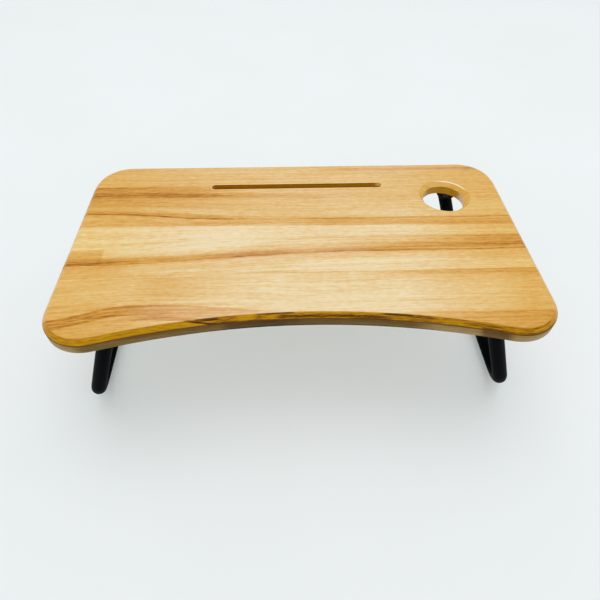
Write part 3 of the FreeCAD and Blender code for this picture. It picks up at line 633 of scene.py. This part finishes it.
def slot_shades(tree, shade, film, along, across, depth, bevel):
    """The tablet slot.

    Its walls are brown, darker at the head, with painted shade at the foot and a painted golden
    highlight at the ends, and a painted pale highlight runs round its rim.
    """
    distance = slot_distance(tree, along, across)
    # How bright the walls are painted by the depth: darker at the head, painted shade at the foot.
    level = product(tree, ease(tree, depth, *SLOT_HEAD), ease(tree, depth, *SLOT_FOOT_SHADE))
    level = put(tree, "ShaderNodeCombineColor", {0: level, 1: level, 2: level}).outputs[0]
    wall = tint(tree, tint(tree, film, SLOT_WALL), level)
    # A painted highlight on the slot's end walls.
    gleam = calc(tree, "ADD", ease(tree, along, *GLEAM_RIGHT), ease(tree, along, *GLEAM_LEFT))
    gleam = product(tree, gleam, between(tree, depth, *GLEAM_SPAN))
    wall = mix(tree, gleam, wall, SLOT_END_HIGHLIGHT)
    # A painted highlight on the rim round the slot.
    rim = product(tree, between(tree, distance, *SLOT_HIGHLIGHT_SPAN), SLOT_HIGHLIGHT_SHARE)
    shade = mix(tree, rim, shade, SLOT_RIM_HIGHLIGHT)
    return mix(tree, product(tree, bevel, ease(tree, distance, *SLOT_SIDE)), shade, wall)


def edge_shades(tree, film, coordinates, along, across, depth, front):
    """The film's colour with its bevels and walls.

    Those are golden along the front, then brown, and lighter in the cup hole, with painted highlights
    on its far rim and round the tablet slot and painted shade at the slot's foot.
    """
    slanted = calc(tree, "MULTIPLY_ADD", across, EDGE_SLANT, depth)
    place = put(tree, "ShaderNodeCombineXYZ", {"X": along, "Y": slanted}).outputs[0]
    streaks = noise(tree, place, STREAK_SCALE, detail=3.0, roughness=0.65)
    blotches = noise(tree, place, BLOTCH_SCALE, detail=3.0, roughness=0.6)
    outer, to_right, to_back = round_cup(tree, coordinates)
    bevel = ease(tree, depth, *BEVEL_STEP)
    wall = ease(tree, depth, *WALL_STEP)
    forward = product(tree, ease(tree, front, *FRONT_STEP), outer)

    golden = front_gold(tree, along, depth, streaks, blotches)
    shade = mix(tree, product(tree, bevel, forward), film, golden)
    shade = mix(tree, wall, shade, wall_brown(tree, along, depth, streaks, blotches))
    foot = product(tree, between(tree, depth, *FOOT_SPAN), forward, FOOT_SHARE)
    shade = mix(tree, foot, shade, FOOT_BROWN)
    shade = mix(tree, outer, cup_shades(tree, film, depth, bevel, wall, to_right, to_back), shade)
    return slot_shades(tree, shade, film, along, across, depth, bevel)


def wood_film():
    """Printed film with a long light wood figure, satin, deeper in tone where it bends over the edge."""
    material, tree, shader, coordinates = new_material("wood_film")
    along, across, depth, front = film_place(tree, coordinates)
    film, lines = wood_tone(tree, coordinates, along, across)
    shade = edge_shades(tree, film, coordinates, along, across, depth, front)
    gloss = calc(tree, "MULTIPLY_ADD", lines["Thin"], GLOSS_RANGE, FILM_GLOSS)
    relief = calc(tree, "SUBTRACT", lines["Thin"], product(tree, lines["Pores"], PORE_DEPTH))
    normal = bump(tree, relief, FILM_RELIEF, RELIEF_SHARE)
    set_inputs(tree, shader, Base_Color=shade, Roughness=gloss, Normal=normal)
    shader.inputs["Specular IOR Level"].default_value = FILM_SHINE
    return material


# ---- what is under and round the board ----

FIBRE_TONES = [(0.3, colour(120, 88, 58)), (0.7, colour(168, 132, 92))]
PAPER_TONES = [(0.3, colour(186, 166, 136)), (0.7, colour(206, 190, 162))]
PAPER_SCALE = (30, 420, 30)  # its long mottle, to the metre
PAPER_SHARE = 0.6  # how much of the paper's tone the long mottle makes up
ZINC_TONES = [(0.3, colour(176, 178, 176)), (0.7, colour(212, 212, 206))]
ZINC_GLOSS = 0.22
ZINC_RANGE = 0.2
BLACK_BLOTCH = 45.0  # to the metre
BLACK_STOPS = (0.35, 0.65)

# The black finishes: the darker and the lighter tone, how fine the texture is to the metre and how
# deep, the least and the greatest roughness, and the shine.
BLACKS = {
    "black_tube": (colour(2, 5, 7), colour(5, 9, 11), 1400.0, 0.03 * MM, 0.35, 0.5, 0.012),
    "bracket_plastic": (colour(8, 9, 11), colour(14, 15, 17), 2600.0, 0.05 * MM, 0.45, 0.6, 0.1),
    "plug_plastic": (colour(10, 10, 11), colour(16, 16, 17), 2600.0, 0.03 * MM, 0.45, 0.6, 0.12),
    "black_steel": (colour(14, 15, 17), colour(22, 23, 25), 3200.0, 0.01 * MM, 0.3, 0.45, 0.25),
    "rubber": (colour(22, 22, 22), colour(34, 34, 33), 1800.0, 0.06 * MM, 0.7, 0.85, 0.3),
}


def speckled_material(name, grain, blotch):
    """A new material with an even texture, so many grains and blotches to the metre.

    Gives the material, its tree, the shader, the place and the texture's outputs.
    """
    material, tree, shader, coordinates = new_material(name)
    place = coordinates.outputs["Object"]
    texture = use(tree, SPECKLE, {"Place": place, "Grain": grain, "Blotch": blotch})
    return material, tree, shader, place, texture


def fibreboard():
    """Raw pressed fibres."""
    material, tree, shader, _, texture = speckled_material("fibreboard", grain=1500.0, blotch=90.0)
    shade = ramp(tree, texture["Height"], FIBRE_TONES)
    normal = bump(tree, texture["Height"], distance=0.15 * MM)
    set_inputs(tree, shader, Base_Color=shade, Roughness=0.9, Normal=normal)
    return material


def backing():
    """The plain sheet under the board: matt paper with a faint long mottle."""
    material, tree, shader, place, texture = speckled_material("backing", grain=900.0, blotch=24.0)
    fibres = noise(tree, place, PAPER_SCALE, detail=3.0, roughness=0.6)
    blotches = product(tree, texture["Tone"], 1 - PAPER_SHARE)
    shade = ramp(tree, calc(tree, "MULTIPLY_ADD", fibres, PAPER_SHARE, blotches), PAPER_TONES)
    normal = bump(tree, texture["Height"], distance=0.03 * MM)
    set_inputs(tree, shader, Base_Color=shade, Roughness=0.72, Normal=normal)
    return material


def black_finish(name, dark, light, grain, depth, low_gloss, high_gloss, shine):
    """One of the black finishes."""
    material, tree, shader, _, texture = speckled_material(name, grain, BLACK_BLOTCH)
    shade = ramp(tree, texture["Tone"], list(zip(BLACK_STOPS, (dark, light))))
    gloss = calc(tree, "MULTIPLY_ADD", texture["Tone"], high_gloss - low_gloss, low_gloss)
    normal = bump(tree, texture["Height"], depth)
    set_inputs(tree, shader, Base_Color=shade, Roughness=gloss, Normal=normal)
    shader.inputs["Specular IOR Level"].default_value = shine
    return material


def zinc_screw():
    """Bright zinc plate, a little cloudy."""
    material, tree, shader, _, texture = speckled_material("zinc_screw", grain=2500.0, blotch=400.0)
    shade = ramp(tree, texture["Tone"], ZINC_TONES)
    gloss = calc(tree, "MULTIPLY_ADD", texture["Tone"], ZINC_RANGE, ZINC_GLOSS)
    normal = bump(tree, texture["Height"], distance=0.02 * MM)
    set_inputs(tree, shader, Base_Color=shade, Roughness=gloss, Metallic=1.0, Normal=normal)
    return material


def dress_nodes():
    """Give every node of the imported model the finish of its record's slot."""
    finishes = {
        "wood_film": wood_film(),
        "fibreboard": fibreboard(),
        "backing": backing(),
        "zinc_screw": zinc_screw(),
    }
    for name, values in BLACKS.items():
        finishes[name] = black_finish(name, *values)
    for entry in frame["record"]["subparts"]:
        node = frame["nodes"][entry["node"]]
        node.data.materials.clear()
        node.data.materials.append(finishes[entry["material_slot"]])


# ---- the room ----

FLOOR_REACH = 12.0
FLOOR_TONES = [(0.3, colour(240, 240, 242)), (0.7, colour(243, 243, 246))]
FLOOR_CLOUDS = 3.0  # to the metre
FLOOR_GLOW = 0.28  # the share of its brightness, as the camera sees it, that no shadow takes away
FLOOR_GLOW_TONE = colour(224, 242, 240)
WORLD_LEVEL = 0.85
LAMP_PLACE = Vector((0.1, 0.3, 3.0))
LAMP_AIM = Vector((0, 0, 0.2))
LAMP_WIDTH = 2.4
LAMP_DEPTH = 1.8
LAMP_POWER = 18  # watts


def floor():
    """A wide pale floor, clear from below."""
    reach = FLOOR_REACH
    mesh = bpy.data.meshes.new("floor")
    corners = [(-reach, -reach, 0), (reach, -reach, 0), (reach, reach, 0), (-reach, reach, 0)]
    mesh.from_pydata(corners, [], [(0, 1, 2, 3)])
    plane = bpy.data.objects.new("floor", mesh)
    bpy.context.scene.collection.objects.link(plane)
    material, tree, shader, coordinates = new_material("floor")
    shade = ramp(tree, noise(tree, coordinates.outputs["Object"], FLOOR_CLOUDS), FLOOR_TONES)
    seen = put(tree, "ShaderNodeLightPath").outputs["Is Camera Ray"]
    dimmed = tint(tree, shade, (1 - FLOOR_GLOW, 1 - FLOOR_GLOW, 1 - FLOOR_GLOW, 1.0))
    shade = mix(tree, seen, shade, dimmed)
    glow = product(tree, seen, FLOOR_GLOW)
    set_inputs(tree, shader, Base_Color=shade, Roughness=0.6, Emission_Strength=glow)
    shader.inputs["Emission Color"].default_value = FLOOR_GLOW_TONE
    shader.inputs["Specular IOR Level"].default_value = 0.1
    below = put(tree, "ShaderNodeNewGeometry").outputs["Backfacing"]
    clear = put(tree, "ShaderNodeBsdfTransparent").outputs[0]
    surface = put(tree, "ShaderNodeMixShader", {0: below, 1: shader.outputs[0], 2: clear}).outputs[0]
    put(tree, "ShaderNodeOutputMaterial", {"Surface": surface}, is_active_output=True)
    mesh.materials.append(material)


def world():
    """White where it is seen, reflected or looked through, and a plain soft light everywhere else."""
    surroundings = bpy.data.worlds.new("studio")
    bpy.context.scene.world = surroundings
    surroundings.use_nodes = True
    tree = surroundings.node_tree
    tree.nodes.clear()
    rays = put(tree, "ShaderNodeLightPath").outputs
    seen = calc(tree, "MAXIMUM", rays["Is Camera Ray"], rays["Is Glossy Ray"])
    seen = calc(tree, "MAXIMUM", seen, rays["Is Transmission Ray"])
    level = calc(tree, "MULTIPLY_ADD", seen, 1 - WORLD_LEVEL, WORLD_LEVEL)
    light = put(tree, "ShaderNodeBackground", {"Color": (1, 1, 1, 1), "Strength": level})
    put(tree, "ShaderNodeOutputWorld", {"Surface": light.outputs[0]})


def overhead_lamp():
    """A wide soft lamp high over the table."""
    lamp = bpy.data.lights.new("overhead", "AREA")
    lamp.shape = "RECTANGLE"
    lamp.size = LAMP_WIDTH
    lamp.size_y = LAMP_DEPTH
    lamp.energy = LAMP_POWER
    holder = bpy.data.objects.new("overhead", lamp)
    holder.location = LAMP_PLACE
    holder.rotation_euler = (LAMP_AIM - LAMP_PLACE).to_track_quat("-Z", "Y").to_euler()
    bpy.context.scene.collection.objects.link(holder)


def camera():
    """The camera of the photograph."""
    lens = bpy.data.cameras.new("camera")
    lens.sensor_width = SENSOR
    lens.lens = SENSOR * FOCAL / PICTURE
    holder = bpy.data.objects.new("camera", lens)
    turn = Matrix.Rotation(math.radians(-YAW), 4, "Z") @ Matrix.Rotation(math.radians(90 - PITCH), 4, "X")
    turn = turn @ Matrix.Rotation(math.radians(ROLL), 4, "Z")
    holder.matrix_world = Matrix.Translation(CAMERA_PLACE) @ turn
    bpy.context.scene.collection.objects.link(holder)
    bpy.context.scene.camera = holder


dress_nodes()
floor()
world()
overhead_lamp()
camera()
bpy.context.scene.view_settings.view_transform = "Standard"
